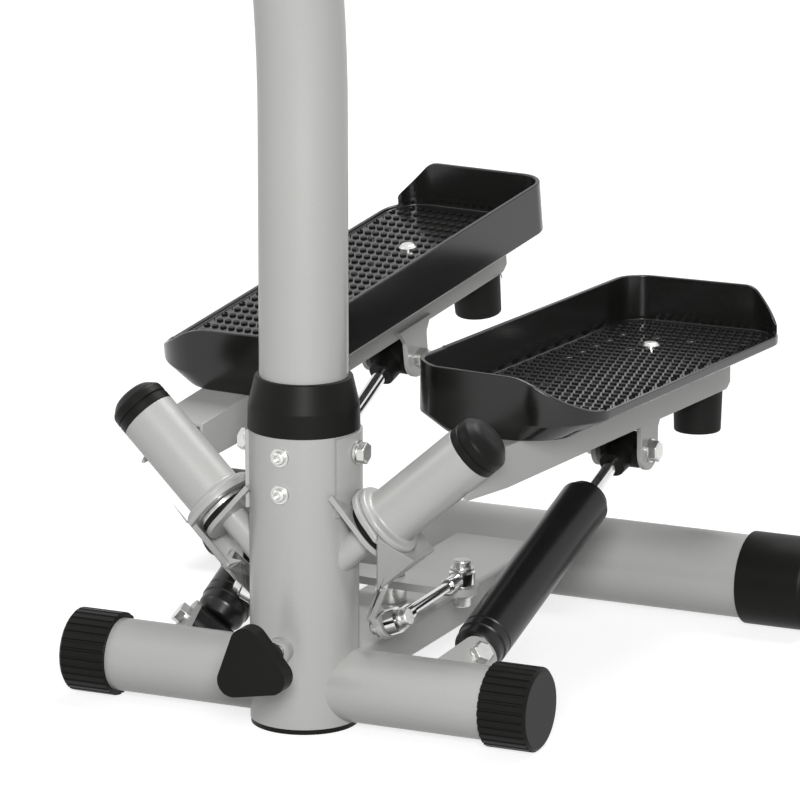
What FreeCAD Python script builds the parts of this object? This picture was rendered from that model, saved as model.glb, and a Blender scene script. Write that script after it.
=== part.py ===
import FreeCAD, Part
import math
import os

App = FreeCAD
Vector = FreeCAD.Vector
Placement = FreeCAD.Placement
Rotation = FreeCAD.Rotation

os.makedirs("parts", exist_ok=True)
doc = FreeCAD.newDocument("stepper")

# Driving sizes in millimetres and degrees, each written once.
SIZES = {
    "foot_plug_rise": 3.5, "column_diameter": 74.0, "column_wall": 2.5, "column_top": 205.0,
    "post_diameter": 60.0, "post_wall": 2.0, "post_seat": 150.0, "post_bend_start": 415.0,
    "post_bend_radius": 590.0, "post_tilt": 10.0, "post_straight": 610.0,
    "collar_rise": 36.0, "collar_top_radius": 33.0, "collar_step": 1.0, "slip_gap": 0.15, "screw_gap": 0.3,
    "screw_diameter": 8.0, "upper_screw_height": 192.0, "lower_screw_height": 166.5,
    "cross_bolt_height": 191.5,
    "front_tube_diameter": 50.0, "front_tube_wall": 2.0, "front_tube_height": 28.8,
    "front_tube_half_length": 170.0, "front_cap_radius": 28.8, "front_cap_inner_end": 140.0,
    "front_cap_end_wall": 4.3, "cap_rib_depth": 0.9,
    "beam_width": 68.0, "beam_height": 27.0, "beam_top": 47.5, "beam_wall": 2.0,
    "rear_tube_diameter": 60.0, "rear_tube_wall": 2.0, "rear_tube_reach": 347.0,
    "rear_tube_height": 33.3, "rear_tube_half_length": 234.0, "rear_sleeve_radius": 33.3,
    "rear_sleeve_inner_end": 187.0, "rear_sleeve_end_wall": 5.0,
    "pivot_rise": 92.0, "pivot_set_forward": 11.0, "pivot_lean": 48.75, "pivot_sweep": 8.0,
    "axle_diameter": 20.0, "axle_end": 139.0, "running_gap": 0.06, "face_gap": 0.4,
    "saddle_thickness": 3.5, "saddle_plate_height": 68.0, "saddle_radius": 21.0,
    "saddle_sheet": 2.5, "saddle_opening": 59.0,
    "bush_thickness": 4.0, "washer_thickness": 3.0,
    "crank_plate_thickness": 4.0, "crank_plate_radius": 27.0, "crank_fold_reach": 33.0,
    "pivot_tube_diameter": 40.0, "pivot_tube_wall": 3.0, "pivot_tube_length": 78.0,
    "pivot_cap_rise": 21.0, "rest_swing": 6.5,
    "tray_length": 353.0, "tray_width": 130.0, "tray_wall_height": 37.0, "tray_wall": 3.2,
    "tray_floor": 4.0, "tray_low_wall": 6.0, "tray_base_depth": 12.0, "tray_inset": 36.0, "tray_front": 67.0,
    "tray_rim_height": 255.0, "tray_pitch": 2.9, "tray_yaw": 2.1,
    "arm_bottom": 41.0, "arm_wall": 2.5, "arm_inner": 21.5, "arm_outer": 17.0, "arm_rear": 357.0,
    "bumper_radius": 18.0, "bumper_length": 31.0, "bumper_reach": 341.0,
    "damper_barrel_radius": 18.0, "damper_barrel_start": 35.0, "damper_barrel_end": 197.0,
    "damper_rod_diameter": 10.0, "damper_eye_radius": 13.0, "lug_radius": 14.0,
    "lug_thickness": 4.0, "lower_lug_offset": 15.5, "upper_lug_offset": 16.0,
    "damper_bolt_diameter": 8.0, "upper_eye_side_gap": 3.4, "upper_eye_play": 2.0,
    "rocker_half_length": 57.0, "rocker_reach": 139.0, "rocker_level": 61.0,
    "rocker_thickness": 5.5, "rocker_width": 30.0, "rod_eye_radius": 9.0, "rod_eye_width": 8.0,
    "rod_eye_side_gap": 1.8,
    "rod_diameter": 7.0, "stud_diameter": 7.0, "stud_play": 1.4,
    "knob_height": 59.0, "knob_face": 86.0, "knob_thickness": 13.0, "knob_size": 27.0,
    "knob_screw_diameter": 10.0,
    "handlebar_diameter": 25.4, "handlebar_wall": 2.0, "handlebar_half_width": 225.0,
    "handlebar_rear_reach": 150.0, "handlebar_bend": 60.0, "grip_diameter": 34.0,
    "grip_length": 130.0,
}

sheet = doc.addObject("Spreadsheet::Sheet", "Sizes")
for row, (size_name, size_value) in enumerate(SIZES.items(), start=1):
    sheet.set("A%d" % row, size_name)
    sheet.set("B%d" % row, str(size_value))
    sheet.setAlias("B%d" % row, size_name)
doc.recompute()


def size(name):
    return SIZES[name]


# ---- general tools for solids -------------------------------------------------

def bind(item, **links):
    for prop, expression in links.items():
        item.setExpression(prop, expression)
    return item


def cylinder(name, radius, height, place=None):
    """A cylinder along its own Z; radius and height are sheet expressions."""
    item = doc.addObject("Part::Cylinder", name)
    bind(item, Radius=radius, Height=height)
    if place is not None:
        item.Placement = place
    return item


def rounded_outline(sketch, corners):
    """Closed outline of straight sides whose corners (x, y, radius) are rounded."""
    count = len(corners)
    ends = []
    arcs = []
    for index in range(count):
        x, y, radius = corners[index]
        here = Vector(x, y, 0)
        before = Vector(corners[index - 1][0], corners[index - 1][1], 0)
        after = Vector(corners[(index + 1) % count][0], corners[(index + 1) % count][1], 0)
        if radius <= 0:
            ends.append((here, here))
            arcs.append(None)
            continue
        toward_before = (before - here).normalize()
        toward_after = (after - here).normalize()
        half_angle = toward_before.getAngle(toward_after) / 2.0
        reach = radius / math.tan(half_angle)
        start = here + toward_before * reach
        finish = here + toward_after * reach
        middle_way = (toward_before + toward_after).normalize()
        centre = here + middle_way * (radius / math.sin(half_angle))
        crown = centre - middle_way * radius
        ends.append((start, finish))
        arcs.append(Part.Arc(start, crown, finish))
    for index in range(count):
        if arcs[index] is not None:
            sketch.addGeometry(arcs[index], False)
        leave = ends[index][1]
        arrive = ends[(index + 1) % count][0]
        if (arrive - leave).Length > 1e-6:
            sketch.addGeometry(Part.LineSegment(leave, arrive), False)


def plate(name, corners, thickness, place=None, level=0.0):
    """An outline in XY raised along Z from level; thickness is a sheet expression."""
    sketch = doc.addObject("Sketcher::SketchObject", name + "_outline")
    rounded_outline(sketch, corners)
    item = doc.addObject("Part::Extrusion", name)
    item.Base = sketch
    item.DirMode = "Custom"
    item.Dir = Vector(0, 0, 1)
    item.Solid = True
    bind(item, LengthFwd=thickness)
    item.Placement = (place or Placement()).multiply(Placement(Vector(0, 0, level), Rotation()))
    return item


def turned(name, profile, place=None):
    """A profile of (radius, height, corner radius) points turned about Z."""
    sketch = doc.addObject("Sketcher::SketchObject", name + "_profile")
    rounded_outline(sketch, profile)
    item = doc.addObject("Part::Revolution", name)
    item.Source = sketch
    item.Axis = Vector(0, 1, 0)
    item.Base = Vector(0, 0, 0)
    item.Angle = 360.0
    item.Solid = True
    upright = Placement(Vector(), Rotation(Vector(1, 0, 0), 90))
    item.Placement = (place or Placement()).multiply(upright)
    return item


def join(name, pieces, place=None):
    item = doc.addObject("Part::MultiFuse", name)
    item.Shapes = pieces
    item.Refine = True
    if place is not None:
        item.Placement = place
    return item


def cut(name, base, tool, place=None):
    item = doc.addObject("Part::Cut", name)
    item.Base = base
    item.Tool = tool
    item.Refine = True
    if place is not None:
        item.Placement = place
    return item


def cut_all(name, base, tools, place=None):
    return cut(name, base, join(name + "_tools", tools) if len(tools) > 1 else tools[0], place)


def common(name, base, tool, place=None):
    item = doc.addObject("Part::Common", name)
    item.Base = base
    item.Tool = tool
    if place is not None:
        item.Placement = place
    return item


NODES = []


def node(label, item):
    item.Label = label
    NODES.append(item)
    return item


def frame_at(origin, up, rear=Vector(0, 1, 0), spin=0.0):
    """Placement whose Z is up and whose Y is as near to rear as it can be."""
    z_axis = Vector(up).normalize()
    y_axis = (rear - z_axis * rear.dot(z_axis)).normalize()
    x_axis = y_axis.cross(z_axis)
    matrix = App.Matrix(x_axis.x, y_axis.x, z_axis.x, origin.x,
                        x_axis.y, y_axis.y, z_axis.y, origin.y,
                        x_axis.z, y_axis.z, z_axis.z, origin.z,
                        0, 0, 0, 1)
    place = Placement(matrix)
    return place.multiply(Placement(Vector(), Rotation(Vector(0, 0, 1), spin)))


def shift(x=0.0, y=0.0, z=0.0):
    return Placement(Vector(x, y, z), Rotation())


ALONG_X = Rotation(Vector(0, 1, 0), 90)
ALONG_Y = Rotation(Vector(1, 0, 0), -90)


def sided(vector, side):
    return Vector(vector.x * side, vector.y, vector.z)


# ---- places shared by the moving pieces ----------------------------------------

PIVOT_FOOT = Vector(0, -size("pivot_set_forward"), size("pivot_rise"))
lean = math.radians(size("pivot_lean"))
sweep = math.radians(size("pivot_sweep"))
PIVOT_DIRECTION = Vector(math.sin(lean) * math.cos(sweep), math.sin(lean) * math.sin(sweep),
                         math.cos(lean))


def swing(side, degrees):
    """Turn of one pedal about its inclined pivot; positive lifts the pedal."""
    return Placement(Vector(), Rotation(sided(PIVOT_DIRECTION, side), degrees * side), PIVOT_FOOT)


def lift(side):
    """At rest the right pedal is down and the left one is up by the same swing."""
    return swing(side, 0.0 if side > 0 else 2 * size("rest_swing"))


def pivot_frame(side):
    return frame_at(PIVOT_FOOT, sided(PIVOT_DIRECTION, side))


def crank_start():
    """Height on the pivot at which the crank plate begins, above the bush and washer."""
    return (size("saddle_plate_height") + size("saddle_thickness") + size("bush_thickness")
            + size("washer_thickness") + size("face_gap"))


def tray_frame(side):
    """Tray bottom, centre line and front edge, on the lowered pedal."""
    half = size("tray_width") / 2
    start = Vector(side * (size("tray_inset") + half), size("tray_front"),
                   size("tray_rim_height") - size("tray_wall_height"))
    yaw = Placement(Vector(), Rotation(Vector(0, 0, 1), side * size("tray_yaw")),
                    Vector(side * size("tray_inset"), 110, 0))
    pitch = Placement(Vector(), Rotation(Vector(1, 0, 0), size("tray_pitch")),
                      Vector(0, 260, size("tray_rim_height")))
    down = swing(side, -size("rest_swing"))
    return down.multiply(pitch).multiply(yaw).multiply(Placement(start, Rotation()))


CRANK_BALL = Vector(59, 17, 72)
CRANK_STUD_AXIS = Vector(0.925, 0, 0.38)
DAMPER_FOOT = Vector(97.5, 46.5, 36.0)
DAMPER_HEAD = Vector(112.0, 290.0, 134.0)


def damper_foot_axis():
    """Bolt axis square to the damper and to the way its head starts to move."""
    along = (DAMPER_HEAD - DAMPER_FOOT).normalize()
    move = PIVOT_DIRECTION.cross(DAMPER_HEAD - PIVOT_FOOT)
    axis = along.cross(move).normalize()
    turn = Placement(Vector(), Rotation(along, DAMPER_AXIS_TRIM))
    return turn.multVec(axis)


DAMPER_AXIS_TRIM = 2.9


def crank_ball(side):
    return lift(side).multVec(sided(CRANK_BALL, side))


def rocker_centre():
    return Vector(0, size("rocker_reach"), size("rocker_level"))


def rocker_ball(side, degrees):
    """Centre of the rod eye above one end of the rocker."""
    height = size("rocker_thickness") + size("rod_eye_side_gap") + size("rod_eye_width") / 2
    arm = Vector(side * size("rocker_half_length"), 0, height)
    return rocker_centre() + Rotation(Vector(0, 0, 1), degrees).multVec(arm)


def rocker_rest_angle():
    """Rocker angle at which the two tie rods have the same length."""
    low = -20.0
    high = 20.0
    for _ in range(60):
        middle = (low + high) / 2
        right = (rocker_ball(1, middle) - crank_ball(1)).Length
        left = (rocker_ball(-1, middle) - crank_ball(-1)).Length
        if right > left:
            high = middle
        else:
            low = middle
    return (low + high) / 2


# ---- fixed frame -----------------------------------------------------------------

def make_foot_plug():
    base = cylinder("plug_base", "(Sizes.column_diameter / 2 - 0.5) * 1 mm",
                    "Sizes.foot_plug_rise * 1 mm")
    spigot = cylinder("plug_spigot", "(Sizes.column_diameter / 2 - Sizes.column_wall"
                      " - Sizes.slip_gap) * 1 mm", "(Sizes.foot_plug_rise + 0.3) * 1 mm")
    node("column_foot_plug", join("foot_plug", [base, spigot]))


def make_column():
    radius = size("column_diameter") / 2
    rise = size("foot_plug_rise")
    outer = cylinder("column_outer", "Sizes.column_diameter / 2 * 1 mm",
                     "(Sizes.column_top - Sizes.foot_plug_rise) * 1 mm", shift(0, 0, rise))
    boss = cylinder("knob_boss", "9 mm", "8 mm",
                    Placement(Vector(0, -radius - 6, size("knob_height")), ALONG_Y))
    body = join("column_body", [outer, boss])
    bore = cylinder("column_bore", "(Sizes.column_diameter / 2 - Sizes.column_wall) * 1 mm",
                    "Sizes.column_top * 1 mm")
    cross = cylinder("front_tube_hole", "Sizes.front_tube_diameter / 2 * 1 mm",
                     "Sizes.column_diameter * 1.2 * 1 mm",
                     Placement(Vector(-radius * 1.2, 0, size("front_tube_height")), ALONG_X))
    tools = [bore, cross]
    for key in ("upper", "lower"):
        tools.append(cylinder("front_hole_" + key,
                              "(Sizes.screw_diameter / 2 + Sizes.screw_gap) * 1 mm",
                              "Sizes.column_diameter / 2 * 1 mm",
                              Placement(Vector(0, -radius - 1, size(key + "_screw_height")),
                                        ALONG_Y)))
    tools.append(cylinder("cross_hole", "(Sizes.screw_diameter / 2 + Sizes.screw_gap) * 1 mm",
                          "(Sizes.column_diameter + 2) * 1 mm",
                          Placement(Vector(-radius - 1, 0, size("cross_bolt_height")),
                                    ALONG_X)))
    tools.append(cylinder("knob_hole",
                          "(Sizes.knob_screw_diameter / 2 + Sizes.screw_gap) * 1 mm",
                          "Sizes.column_diameter / 2 * 1 mm",
                          Placement(Vector(0, -radius - 8, size("knob_height")), ALONG_Y)))
    for side in (1, -1):
        tools.append(cylinder("axle_hole_%d" % side,
                              "Sizes.axle_diameter / 2 * 1 mm", "60 mm",
                              pivot_frame(side).multiply(shift(0, 0, 30))))
    node("column_tube", cut_all("column", body, tools))


def make_collar():
    top = size("column_top")
    rise = size("collar_rise")
    outer = size("column_diameter") / 2 + size("collar_step")
    inner = size("post_diameter") / 2 + size("slip_gap")
    sleeve = size("column_diameter") / 2 - size("column_wall") - size("slip_gap")
    profile = [(inner, size("post_seat"), 0), (sleeve, size("post_seat"), 0), (sleeve, top, 0),
               (outer, top, 0.8), (outer - 0.4, top + rise * 0.45, 6),
               (size("collar_top_radius"), top + rise, 1.2), (inner, top + rise, 0)]
    body = turned("collar_turned", profile)
    tools = []
    for key in ("upper", "lower"):
        tools.append(cylinder("collar_hole_" + key,
                              "(Sizes.screw_diameter / 2 + Sizes.screw_gap) * 1 mm",
                              "Sizes.column_diameter / 2 * 1 mm",
                              Placement(Vector(0, -outer, size(key + "_screw_height")), ALONG_Y)))
    tools.append(cylinder("collar_cross_hole",
                          "(Sizes.screw_diameter / 2 + Sizes.screw_gap) * 1 mm",
                          "Sizes.column_diameter * 1 mm",
                          Placement(Vector(-outer, 0, size("cross_bolt_height")), ALONG_X)))
    node("post_collar", cut_all("collar", body, tools))


def post_end():
    """Top of the post and the direction that it points in."""
    tilt = math.radians(size("post_tilt"))
    radius = size("post_bend_radius")
    bend_end = Vector(0, -radius * (1 - math.cos(tilt)),
                      size("post_bend_start") + radius * math.sin(tilt))
    way = Vector(0, -math.sin(tilt), math.cos(tilt))
    return bend_end + way * size("post_straight"), way


def sweep_tube(name, wire, origin, way, radius, bore):
    """Tube of one outer and one inner circle swept along a wire."""
    solids = []
    for value in (radius, bore):
        circle = Part.Wire([Part.Circle(origin, way, value).toShape()])
        solids.append(wire.makePipeShell([circle], True, True))
    item = doc.addObject("Part::Feature", name)
    item.Shape = solids[0].cut(solids[1])
    return item


def make_post():
    start = Vector(0, 0, size("post_seat"))
    bend = Vector(0, 0, size("post_bend_start"))
    tilt = math.radians(size("post_tilt"))
    radius = size("post_bend_radius")
    middle = Vector(0, -radius * (1 - math.cos(tilt / 2)),
                    size("post_bend_start") + radius * math.sin(tilt / 2))
    finish, way = post_end()
    bend_end = finish - way * size("post_straight")
    wire = Part.Wire([Part.makeLine(start, bend), Part.Arc(bend, middle, bend_end).toShape(),
                      Part.makeLine(bend_end, finish)])
    tube = sweep_tube("post_swept", wire, start, Vector(0, 0, 1), size("post_diameter") / 2,
                      size("post_diameter") / 2 - size("post_wall"))
    tools = []
    for key in ("upper", "lower"):
        tools.append(cylinder("post_hole_" + key, "Sizes.screw_diameter / 2 * 1 mm",
                              "Sizes.post_diameter / 2 * 1 mm",
                              Placement(Vector(0, -size("post_diameter") / 2 - 4,
                                               size(key + "_screw_height")), ALONG_Y)))
    tools.append(cylinder("post_cross_hole",
                          "(Sizes.screw_diameter / 2 + Sizes.screw_gap) * 1 mm",
                          "Sizes.column_diameter * 1 mm",
                          Placement(Vector(-size("column_diameter") / 2, 0,
                                           size("cross_bolt_height")), ALONG_X)))
    node("handle_post", cut_all("post", tube, tools))


def make_column_screws():
    """Two button-head screws with washers in the front and one bolt from side to side."""
    shank = size("screw_diameter") / 2
    face = size("column_diameter") / 2
    for key in ("upper", "lower"):
        profile = [(0, -16, 0), (shank, -16, 0), (shank, 0, 0), (6.4, 0, 0), (6.4, 1.6, 0.3),
                   (4.6, 1.6, 0), (4.6, 4.6, 1.8), (2.5, 4.9, 0), (2.5, 2.2, 0), (0, 2.2, 0)]
        place = Placement(Vector(0, -face, size(key + "_screw_height")),
                          Rotation(Vector(1, 0, 0), 90))
        node("column_screw_" + key, turned("column_screw_" + key, profile, place))
    reach = face + size("saddle_sheet")
    profile = [(0, -reach - 7, 0), (6.0, -reach - 7, 0.8), (6.0, -reach - 1.6, 0),
               (8.2, -reach - 1.6, 0), (8.2, -reach, 0), (shank, -reach, 0), (shank, reach, 0),
               (8.2, reach, 0), (8.2, reach + 1.6, 0), (6.0, reach + 1.6, 0),
               (6.0, reach + 7, 0.8), (0, reach + 7, 0)]
    place = Placement(Vector(0, 0, size("cross_bolt_height")), ALONG_X)
    node("column_cross_bolt", turned("cross_bolt", profile, place))


def make_front_stabilizer():
    half = size("front_tube_half_length")
    height = size("front_tube_height")
    outer = cylinder("front_outer", "Sizes.front_tube_diameter / 2 * 1 mm",
                     "Sizes.front_tube_half_length * 2 * 1 mm",
                     Placement(Vector(-half, 0, height), ALONG_X))
    pieces = [outer]
    holes = [cylinder("front_bore",
                      "(Sizes.front_tube_diameter / 2 - Sizes.front_tube_wall) * 1 mm",
                      "(Sizes.front_tube_half_length * 2 + 2) * 1 mm",
                      Placement(Vector(-half - 1, 0, height), ALONG_X))]
    wide = size("lug_radius")
    for side in (1, -1):
        base = frame_at(sided(DAMPER_FOOT, side), sided(damper_foot_axis(), side))
        for index, offset in enumerate((size("lower_lug_offset"),
                                        -size("lower_lug_offset") - size("lug_thickness"))):
            corners = [(-wide, -52, 0), (wide, -52, 0), (wide, wide, wide * 0.999),
                       (-wide, wide, wide * 0.999)]
            pieces.append(plate("front_lug_%d_%d" % (side, index), corners,
                                "Sizes.lug_thickness * 1 mm", base, offset))
        holes.append(cylinder("front_lug_hole_%d" % side,
                              "Sizes.damper_bolt_diameter / 2 * 1 mm", "50 mm",
                              base.multiply(shift(0, 0, -25))))
    node("front_stabilizer", cut_all("front_tube", join("front_body", pieces), holes))


def ribbed_ring(outer, depth, count):
    """Outline of a ring of shallow ribs."""
    points = []
    for index in range(count):
        for share, radius in ((0.0, outer), (0.62, outer), (0.70, outer - depth),
                              (0.92, outer - depth)):
            angle = 2 * math.pi * (index + share) / count
            points.append((radius * math.cos(angle), radius * math.sin(angle), 0))
    return points


def make_front_caps():
    start = size("front_cap_inner_end")
    half = size("front_tube_half_length")
    for side, label in ((1, "right"), (-1, "left")):
        place = Placement(Vector(side * start, 0, size("front_tube_height")),
                          Rotation(Vector(0, 1, 0), 90 * side))
        length = half - start + size("front_cap_end_wall")
        ribs = plate("front_cap_ribs_" + label,
                     ribbed_ring(size("front_cap_radius"), size("cap_rib_depth"), 30),
                     "(Sizes.front_tube_half_length - Sizes.front_cap_inner_end"
                     " + Sizes.front_cap_end_wall) * 1 mm")
        edge = size("front_cap_radius") + 1
        envelope = turned("front_cap_round_" + label,
                          [(0, -1, 0), (edge, -1, 0), (edge, length - 3.2, 0),
                           (size("front_cap_radius") - 2.6, length, 1.5), (0, length, 0)])
        body = common("front_cap_body_" + label, ribs, envelope)
        bore = cylinder("front_cap_bore_" + label, "Sizes.front_tube_diameter / 2 * 1 mm",
                        "(Sizes.front_tube_half_length - Sizes.front_cap_inner_end) * 1 mm")
        node("front_cap_" + label, cut("front_cap_" + label, body, bore, place))


def make_beam():
    wide = size("beam_width") / 2
    high = size("beam_height")
    wall = size("beam_wall")
    rear = size("rear_tube_reach")
    base = size("beam_top") - high
    side_on = Placement(Vector(0, 10, base + high / 2), Rotation(Vector(1, 0, 0), -90))
    outline = [(-wide, -high / 2, 4), (wide, -high / 2, 4), (wide, high / 2, 4),
               (-wide, high / 2, 4)]
    inside = [(-wide + wall, -high / 2 + wall, 2), (wide - wall, -high / 2 + wall, 2),
              (wide - wall, high / 2 - wall, 2), (-wide + wall, high / 2 - wall, 2)]
    outer = plate("beam_outer", outline, "(Sizes.rear_tube_reach - 10) * 1 mm", side_on)
    inner = plate("beam_inner", inside, "(Sizes.rear_tube_reach + 20) * 1 mm", side_on, -10)
    column = cylinder("beam_column_cope", "Sizes.column_diameter / 2 * 1 mm",
                      "Sizes.column_top * 1 mm")
    front = cylinder("beam_front_cope", "Sizes.front_tube_diameter / 2 * 1 mm", "200 mm",
                     Placement(Vector(-100, 0, size("front_tube_height")), ALONG_X))
    back = cylinder("beam_rear_cope", "Sizes.rear_tube_diameter / 2 * 1 mm", "200 mm",
                    Placement(Vector(-100, rear, size("rear_tube_height")), ALONG_X))
    bolt = cylinder("beam_bolt_hole", "(Sizes.stud_diameter / 2 + 0.5) * 1 mm",
                    "Sizes.beam_height * 1 mm",
                    Placement(Vector(0, size("rocker_reach"), size("beam_top") - 10), Rotation()))
    node("center_beam", cut_all("beam", outer, [inner, column, front, back, bolt]))


def make_rear_stabilizer():
    half = size("rear_tube_half_length")
    centre = Vector(-half, size("rear_tube_reach"), size("rear_tube_height"))
    outer = cylinder("rear_outer", "Sizes.rear_tube_diameter / 2 * 1 mm",
                     "Sizes.rear_tube_half_length * 2 * 1 mm", Placement(centre, ALONG_X))
    bore = cylinder("rear_bore",
                    "(Sizes.rear_tube_diameter / 2 - Sizes.rear_tube_wall) * 1 mm",
                    "(Sizes.rear_tube_half_length * 2 + 2) * 1 mm",
                    Placement(centre - Vector(1, 0, 0), ALONG_X))
    node("rear_stabilizer", cut("rear_tube", outer, bore))
    start = size("rear_sleeve_inner_end")
    length = half - start + size("rear_sleeve_end_wall")
    radius = size("rear_sleeve_radius")
    inner = size("rear_tube_diameter") / 2
    for side, label in ((1, "right"), (-1, "left")):
        place = Placement(Vector(side * start, size("rear_tube_reach"), size("rear_tube_height")),
                          Rotation(Vector(0, 1, 0), 90 * side))
        profile = [(inner, 0, 0), (radius, 0, 1.0), (radius, length, 5.0), (0, length, 0),
                   (0, half - start, 0), (inner, half - start, 0)]
        node("rear_sleeve_" + label, turned("rear_sleeve_" + label, profile, place))


def make_saddle():
    """Sheet wrapped round the back of the column with the welded pivot plates and axles."""
    thick = size("saddle_thickness")
    face = size("column_diameter") / 2
    top = size("column_top") - 1
    level = size("saddle_plate_height")
    edge = size("saddle_radius")
    outside = cylinder("sheet_outside", "(Sizes.column_diameter / 2 + Sizes.saddle_sheet) * 1 mm",
                       "%s mm" % (top - 150), shift(0, 0, 150))
    inside = cylinder("sheet_inside", "Sizes.column_diameter / 2 * 1 mm", "100 mm",
                      shift(0, 0, 140))
    opening = math.radians(size("saddle_opening"))
    across = 100 * math.sin(opening)
    ahead = -100 * math.cos(opening)
    front = plate("sheet_front", [(0, 0, 0), (across, ahead, 0), (across, -200, 0),
                                  (-across, -200, 0), (-across, ahead, 0)], "100 mm",
                  shift(0, 0, 140))
    tools = [inside, front]
    tools.append(cylinder("sheet_hole", "(Sizes.screw_diameter / 2 + Sizes.screw_gap) * 1 mm",
                          "100 mm", Placement(Vector(-50, 0, size("cross_bolt_height")),
                                              ALONG_X)))
    groups = []
    for side in (1, -1):
        base = pivot_frame(side)
        tools.append(cylinder("sheet_rings_%d" % side, "(Sizes.saddle_radius + 1) * 1 mm", "9 mm",
                              base.multiply(shift(0, 0, level + thick))))
        tools.append(cylinder("sheet_crank_%d" % side, "(Sizes.crank_plate_radius + 2) * 1 mm",
                              "20 mm", base.multiply(shift(0, 0, level + thick + 6.5))))
        corners = [(-side * 34, -edge, 0), (side * edge * 0.005, -edge, 0),
                   (side * edge, -edge, edge * 0.99), (side * edge, edge, edge * 0.99),
                   (-side * 34, edge, 0)]
        seat = plate("saddle_plate_%d" % side, corners, "Sizes.saddle_thickness * 1 mm",
                     base, level)
        axle = cylinder("axle_%d" % side, "Sizes.axle_diameter / 2 * 1 mm",
                        "(Sizes.axle_end - 38) * 1 mm", base.multiply(shift(0, 0, 38)))
        nut = cylinder("axle_nut_%d" % side, "13 mm", "7 mm",
                       base.multiply(shift(0, 0, size("axle_end") - 0.5)))
        trim = cylinder("saddle_column_cope_%d" % side, "Sizes.column_diameter / 2 * 1 mm",
                        "Sizes.column_top * 1 mm")
        groups.append(cut("saddle_coped_%d" % side,
                          join("saddle_group_%d" % side, [seat, axle, nut]), trim))
    sheet_wrap = cut_all("sheet_wrap", outside, tools)
    node("pivot_saddle", join("saddle", [sheet_wrap] + groups))


def make_thrust_rings():
    start = size("saddle_plate_height") + size("saddle_thickness")
    middle = start + size("bush_thickness")
    end = middle + size("washer_thickness")
    inner = size("axle_diameter") / 2
    outer = size("saddle_radius")
    for side, label in ((1, "right"), (-1, "left")):
        base = pivot_frame(side)
        node("thrust_bush_" + label,
             turned("thrust_bush_" + label,
                    [(inner, start, 0), (outer - 0.5, start, 0.6), (outer - 0.5, middle, 0.6),
                     (inner, middle, 0)], base))
        node("thrust_washer_" + label,
             turned("thrust_washer_" + label,
                    [(inner, middle, 0), (outer, middle, 0.5), (outer, end, 0.5),
                     (inner, end, 0)], base))


def make_rocker_pivot():
    """Upright bolt and spacer on which the rocker turns."""
    top = size("rocker_level") + size("rocker_thickness")
    shank = size("stud_diameter") / 2
    gap = size("running_gap")
    profile = [(0, size("beam_top") - 6, 0), (shank, size("beam_top") - 6, 0),
               (shank, size("beam_top"), 0), (11, size("beam_top"), 1),
               (11, size("rocker_level") - 0.3, 1), (6 - gap, size("rocker_level") - 0.3, 0),
               (6 - gap, top + 0.4, 0), (10, top + 0.4, 0), (10, top + 2, 0),
               (6.5, top + 2, 0), (6.5, top + 8, 1.2), (0, top + 8, 0)]
    place = Placement(Vector(0, size("rocker_reach"), 0), Rotation())
    node("rocker_pivot_bolt", turned("rocker_pivot", profile, place))


# ---- handlebar -------------------------------------------------------------------

def make_handlebar():
    """Wide bar across the top of the post with two ends swept to the rear."""
    top, way = post_end()
    centre = top + way * 22
    half = size("handlebar_half_width")
    bend = size("handlebar_bend")
    reach = size("handlebar_rear_reach")
    diagonal = bend * (1 - math.sqrt(0.5))
    points = []
    for side in (-1, 1):
        straight_end = centre + Vector(side * (half - bend), 0, 0)
        corner = centre + Vector(side * (half - diagonal), diagonal, 0)
        turn_end = centre + Vector(side * half, bend, 0)
        tip = centre + Vector(side * half, bend + reach, 0)
        points.append((straight_end, corner, turn_end, tip))
    left, right = points
    wire = Part.Wire([Part.makeLine(left[3], left[2]),
                      Part.Arc(left[2], left[1], left[0]).toShape(),
                      Part.makeLine(left[0], right[0]),
                      Part.Arc(right[0], right[1], right[2]).toShape(),
                      Part.makeLine(right[2], right[3])])
    radius = size("handlebar_diameter") / 2
    bar = sweep_tube("handlebar_swept", wire, left[3], Vector(0, 1, 0), radius,
                     radius - size("handlebar_wall"))
    node("handlebar", bar)
    outer = size("grip_diameter") / 2
    length = size("grip_length")
    for side, label, tip in ((1, "right", right[3]), (-1, "left", left[3])):
        profile = [(radius, 0, 0), (outer, 0, 4), (outer, length + 5, 8), (0, length + 5, 0),
                   (0, length, 0), (radius, length, 0)]
        place = Placement(tip - Vector(0, length, 0), ALONG_Y)
        node("grip_" + label, turned("grip_" + label, profile, place))
    post_radius = size("post_diameter") / 2
    bore = post_radius - size("post_wall") - size("slip_gap")
    seat = frame_at(top, way)
    stem = turned("head_turned", [(0, -30, 0), (bore, -30, 1), (bore, 0, 0), (post_radius, 0, 0),
                                  (post_radius, 5, 1.5), (19, 22, 4), (19, 40, 3), (0, 40, 0)],
                  seat)
    half_gap = cylinder("head_bar_hole", "Sizes.handlebar_diameter / 2 * 1 mm", "120 mm",
                        Placement(centre - Vector(60, 0, 0), ALONG_X))
    split = plate("head_split", [(-40, -40, 0), (40, -40, 0), (40, 40, 0), (-40, 40, 0)],
                  "40 mm", seat, 23)
    screws = []
    for side in (1, -1):
        screws.append(cylinder("head_screw_%d" % side, "3 mm", "40 mm",
                               seat.multiply(shift(0, 15.4 * side, 8))))
    node("post_head", cut_all("head_body", stem, [half_gap, split]))
    clamp = plate("clamp_block", [(-22, -22, 6), (22, -22, 6), (22, 22, 6), (-22, 22, 6)],
                  "18 mm", seat, 23.5)
    hole = cylinder("clamp_bar_hole", "Sizes.handlebar_diameter / 2 * 1 mm", "120 mm",
                    Placement(centre - Vector(60, 0, 0), ALONG_X))
    node("handlebar_clamp", cut("clamp", clamp, hole))


# ---- pedals ----------------------------------------------------------------------

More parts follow.
